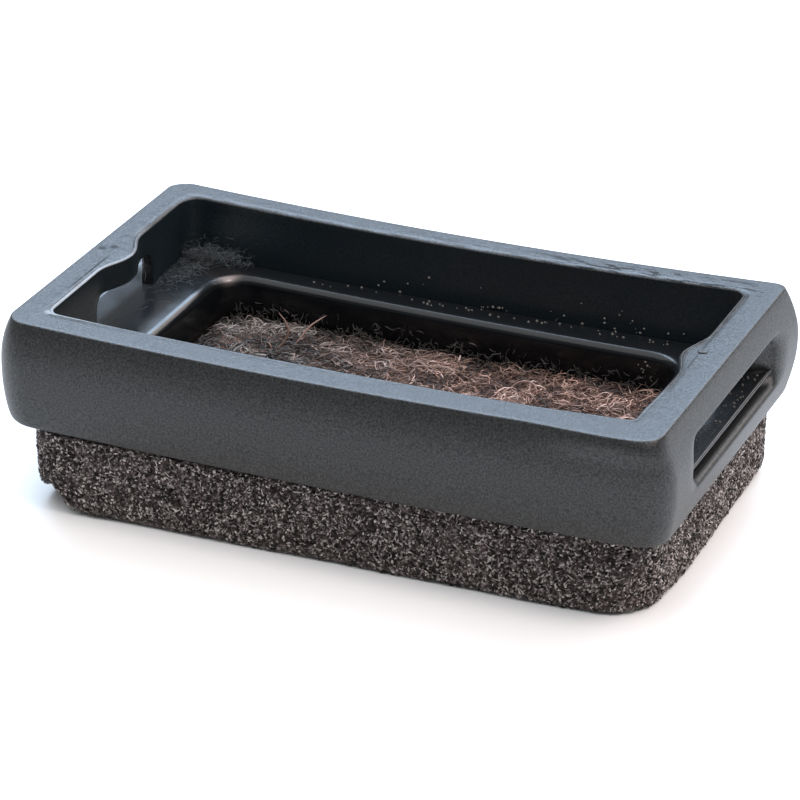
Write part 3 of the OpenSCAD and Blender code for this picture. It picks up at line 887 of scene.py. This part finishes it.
roots[:, 1] += 10.2 - 0.02 * roots[:, 0]
roots[:, 2] = FELT_TOP + 0.5 + np.minimum(rng.exponential(0.5, count), 1.8)
heading = rng.normal(0, 1, (count, 3)) * np.array([1.0, 0.3, 0.6])
heading /= np.linalg.norm(heading, axis=1, keepdims=True)
forward = np.tile([0.0, -1.0, 0.0], (count, 1))
reach, radii = rng.uniform(0.4, 1.3, count), rng.uniform(0.03, 0.06, count)
curl, lift = rng.uniform(0.1, 0.35, count), rng.uniform(0, 0.3, count)
points, quads = strands(roots, heading, forward, reach, radii, curl, lift, 307, 5)
points[:, 1] = np.minimum(points[:, 1], 10.65 - 0.02 * points[:, 0])
# Painted shade: the wisps by the back wall get only the darkest tints, for the shadow they lie in.
dark = np.repeat(rng.uniform(0, 0.3, count), len(points) // count)
wall_wisp_painted_shade = {"strand_shade": dark, "redness": 0.3 * dark}
add_piece("well_wall_wisps", settle(points), quads, wool, wall_wisp_painted_shade)

# Stray fibres. A few long curls of wool that stand up out of the well's felt, and grey lint that has settled
# on the ledge and the tongue at the left end.


def curled_fibre(controls, radius, steps=24):
    """A five-sided tube through set points, smoothed by cubic pieces, drawn in to a point at both tips."""
    controls = np.asarray(controls, dtype=float)
    before, after = 2 * controls[:1] - controls[1:2], 2 * controls[-1:] - controls[-2:-1]
    padded = np.concatenate([before, controls, after])
    s = np.linspace(0, len(controls) - 1, steps + 1)
    i = np.minimum(s.astype(int), len(controls) - 2)
    u = (s - i)[:, None]
    p0, p1, p2, p3 = (padded[i + k] for k in range(4))
    bend = 2 * p0 - 5 * p1 + 4 * p2 - p3 + u * (3 * (p1 - p2) + p3 - p0)
    path = p1 + 0.5 * u * (p2 - p0 + u * bend)
    along = np.gradient(path, axis=0)
    along /= np.linalg.norm(along, axis=-1, keepdims=True)
    across = np.cross(along, [0.35, 0.9, 0.2])
    across /= np.linalg.norm(across, axis=-1, keepdims=True)
    over = np.cross(across, along)
    angles = np.arange(5)[:, None] * 2 * math.pi / 5
    thin = radius * np.sqrt(np.sin(math.pi * np.linspace(0, 1, steps + 1)))[:, None, None]
    ring = across[:, None] * np.cos(angles) + over[:, None] * np.sin(angles)
    points = np.concatenate([path[:1], path[-1:], (path[:, None] + thin * ring)[1:-1].reshape(-1, 3)])
    nodes = np.concatenate([[0] * 5, 2 + np.arange(5 * (steps - 1)), [1] * 5])
    return points, nodes[grid_quads(steps + 1, 5)]


CURLS = (
    (
        (-15.4, 5.2, 8.6),
        (-15.2, 5.0, 9.0),
        (-14.5, 4.9, 8.4),
        (-13.3, 5.0, 10.1),
        (-13.4, 5.0, 11.3),
        (-14.2, 5.0, 12.3),
    ),
    ((-13.4, 5.8, 8.3), (-12.6, 6.0, 9.4), (-11.9, 7.0, 10.5), (-10.7, 8.0, 11.4)),
    ((-5.2, 0.5, 8.4), (-4.0, 1.2, 9.1), (-3.1, 0.6, 9.3), (-2.5, -0.5, 8.5)),
    ((8.0, 5.5, 8.4), (9.0, 6.2, 9.2), (10.4, 6.0, 9.3), (11.2, 5.0, 8.5)),
)
fibres = [curled_fibre(controls, 0.1) for controls in CURLS]
starts = np.cumsum([0] + [len(points) for points, _ in fibres[:-1]])
points = np.concatenate([points for points, _ in fibres])
quads = np.concatenate([quads + start for (_, quads), start in zip(fibres, starts)])
red_brown = {"strand_shade": np.full(len(points), 0.6), "redness": np.full(len(points), 0.9)}
add_piece("stray_curls", settle(points), quads, wool, red_brown)
rng = np.random.default_rng(404)
count = 900
by_wall = np.arange(count) > 350
spread = np.where(by_wall[:, None], [1.9, 0.5, 0.0], [1.0, 2.6, 0.0])
middle = np.where(by_wall[:, None], [-24.6, 13.3, LEDGE_Z], [-25.6, 10.4, LEDGE_Z])
roots = rng.normal(0, 1, (count, 3)) * spread + middle
roots[:, 2] += by_wall * np.abs(rng.normal(0, 0.7, count))
roots[:, 0] = np.clip(roots[:, 0], -27.0, -20.5)
roots[:, 1] = np.clip(roots[:, 1], 1.0, 13.8)
turn = rng.uniform(0, 2 * math.pi, count)
heading = np.stack([np.cos(turn), np.sin(turn), np.zeros(count)], axis=-1)
upward = np.tile([0.0, 0.0, 1.0], (count, 1))
reach, radii = rng.uniform(0.4, 1.5, count), rng.uniform(0.008, 0.014, count)
curl, lift = rng.uniform(0.1, 0.4, count), rng.uniform(0.02, 0.5, count)
points, quads = strands(roots, heading, upward, reach, radii, curl, lift, 405, 5)
points[:, 0] = np.maximum(points[:, 0], -27.2)
points[:, 1] = np.minimum(points[:, 1], 13.9)
SPIKE = ((-28.2, 6.5, 11.9), (-28.1, 6.6, 12.7), (-28.3, 6.7, 13.4), (-28.2, 6.8, 13.9))
spike, spike_quads = curled_fibre(SPIKE, 0.06)
quads = np.concatenate([quads, spike_quads + len(points)])
points = np.concatenate([points, spike])

# Grey house lint: matt and cool.
lint, shader, _ = new_material("grey_house_lint")
shader.inputs["Base Color"].default_value = linear("#5a6064")
shader.inputs["Roughness"].default_value = 0.9
add_piece("ledge_lint", bow(points), quads, lint)

# Dust. Pale specks of lint dust that cling to the walls of the pocket and the well, the ledge and the
# tongues, each an eight-sided grain that touches what it lies on.
rng = np.random.default_rng(505)
wall = rng.uniform(-1, 1, (34, 3)) * np.array([15, 0, 0]) + np.array([7, 13.97, LEDGE_Z])
wall[:, 2] += rng.exponential(0.6, len(wall))
ledge = rng.uniform(-1, 1, (40, 3)) * np.array([18, 0.6, 0]) + np.array([4, 13.1, LEDGE_Z])
tongue_top = rng.uniform(-1, 1, (44, 3)) * np.array([0.9, 9, 0]) + np.array([29.6, 1, TONGUE_TOP_Z])
well_wall = rng.uniform(-1, 1, (16, 3)) * np.array([1.6, 0, 1.0]) + np.array([20.4, 10.35, 10.6])
specks = bow(np.concatenate([wall, ledge, tongue_top, well_wall]))
sizes = rng.uniform(0.06, 0.18, len(specks))
corners = np.array([[1, 0, 0], [0, 1, 0], [-1, 0, 0], [0, -1, 0], [0, 0, 1], [0, 0, -1]], dtype=float)
sides = np.arange(4)
caps = [np.stack([sides, (sides + 1) % 4, np.full(4, 4), np.full(4, 4)], axis=1)]
caps.append(np.stack([(sides + 1) % 4, sides, np.full(4, 5), np.full(4, 5)], axis=1))
points = (specks[:, None] + corners * sizes[:, None, None]).reshape(-1, 3)
quads = (np.concatenate(caps)[None] + np.arange(len(specks))[:, None, None] * 6).reshape(-1, 4)

# Pale lint dust: matt, off-white.
dust, shader, _ = new_material("pale_lint_dust")
shader.inputs["Base Color"].default_value = linear("#5f5d58")
shader.inputs["Roughness"].default_value = 0.9
add_piece("dust_specks", points, quads, dust)

# Studio. A pale matt table top under soft daylight from behind and above, and the photograph's camera.
floor_mesh = bpy.data.meshes.new("table_top")
TABLE_HALF = 2.0
corners = TABLE_HALF * np.array([[-1, -1, 0], [1, -1, 0], [1, 1, 0], [-1, 1, 0]])
floor_mesh.from_pydata(corners, [], [(0, 1, 2, 3)])
table_top = bpy.data.objects.new("table_top", floor_mesh)
bpy.context.scene.collection.objects.link(table_top)

# Matt white laminate, faintly clouded.
laminate, shader, place = new_material("matt_white_laminate")
cloud = noise(laminate, place, 60.0, 2.0)
laminate.node_tree.links.new(mix_colour(laminate, cloud, "#dededd", "#e3e3e3"), shader.inputs["Base Color"])
shader.inputs["Roughness"].default_value = 0.8
floor_mesh.materials.append(laminate)

world = bpy.data.worlds.new("soft_room")
world.use_nodes = True
world.node_tree.nodes["Background"].inputs["Color"].default_value = linear("#f0f1f2")
world.node_tree.nodes["Background"].inputs["Strength"].default_value = 0.3
bpy.context.scene.world = world


def add_softbox(name, place, aim, size, power, colour):
    """A rectangular soft light at a place in metres, turned to face a point."""
    data = bpy.data.lights.new(name, "AREA")
    data.shape = "RECTANGLE"
    data.size, data.size_y = size
    data.energy = power
    data.color = linear(colour)[:3]
    lamp = bpy.data.objects.new(name, data)
    lamp.location = place
    lamp.rotation_mode = "QUATERNION"
    lamp.rotation_quaternion = (Vector(aim) - Vector(place)).to_track_quat("-Z", "Y")
    lamp.visible_camera = False
    bpy.context.scene.collection.objects.link(lamp)


add_softbox("window_behind", (-0.38, 0.75, 0.85), (0, 0, 0.01), (1.1, 0.6), 20.0, "#c4e0ff")
add_softbox("window_back_right", (0.35, 0.85, 0.62), (0, 0, 0.01), (0.7, 0.4), 3.5, "#fff2ec")
add_softbox("sky_above", (0.0, 0.32, 1.0), (0, 0.32, 0), (2.6, 2.4), 40.0, "#f6f9fc")
add_softbox("ceiling_lamp", (0.65, -0.08, 1.0), (0, 0, 0.01), (0.34, 0.34), 6.0, "#ffe9e2")

camera_data = bpy.data.cameras.new("camera")
camera_data.lens = 171.1
camera_data.sensor_width = 36.0
camera_data.clip_start = 0.01
camera = bpy.data.objects.new("camera", camera_data)
azimuth, elevation, tilt = (math.radians(v) for v in (23.06, 25.93, 0.17))
back = Vector(
    (math.sin(azimuth) * math.cos(elevation), -math.cos(azimuth) * math.cos(elevation), math.sin(elevation))
)
aim = Vector((0.28, 0.12, 8.27)) * MM
distance = 338.5 * MM
camera.location = aim + back * distance
camera.rotation_mode = "QUATERNION"
camera.rotation_quaternion = (-back).to_track_quat("-Z", "Y") @ Quaternion((0, 0, 1), tilt)
bpy.context.scene.collection.objects.link(camera)
bpy.context.scene.camera = camera
bpy.context.scene.view_settings.view_transform = "Standard"
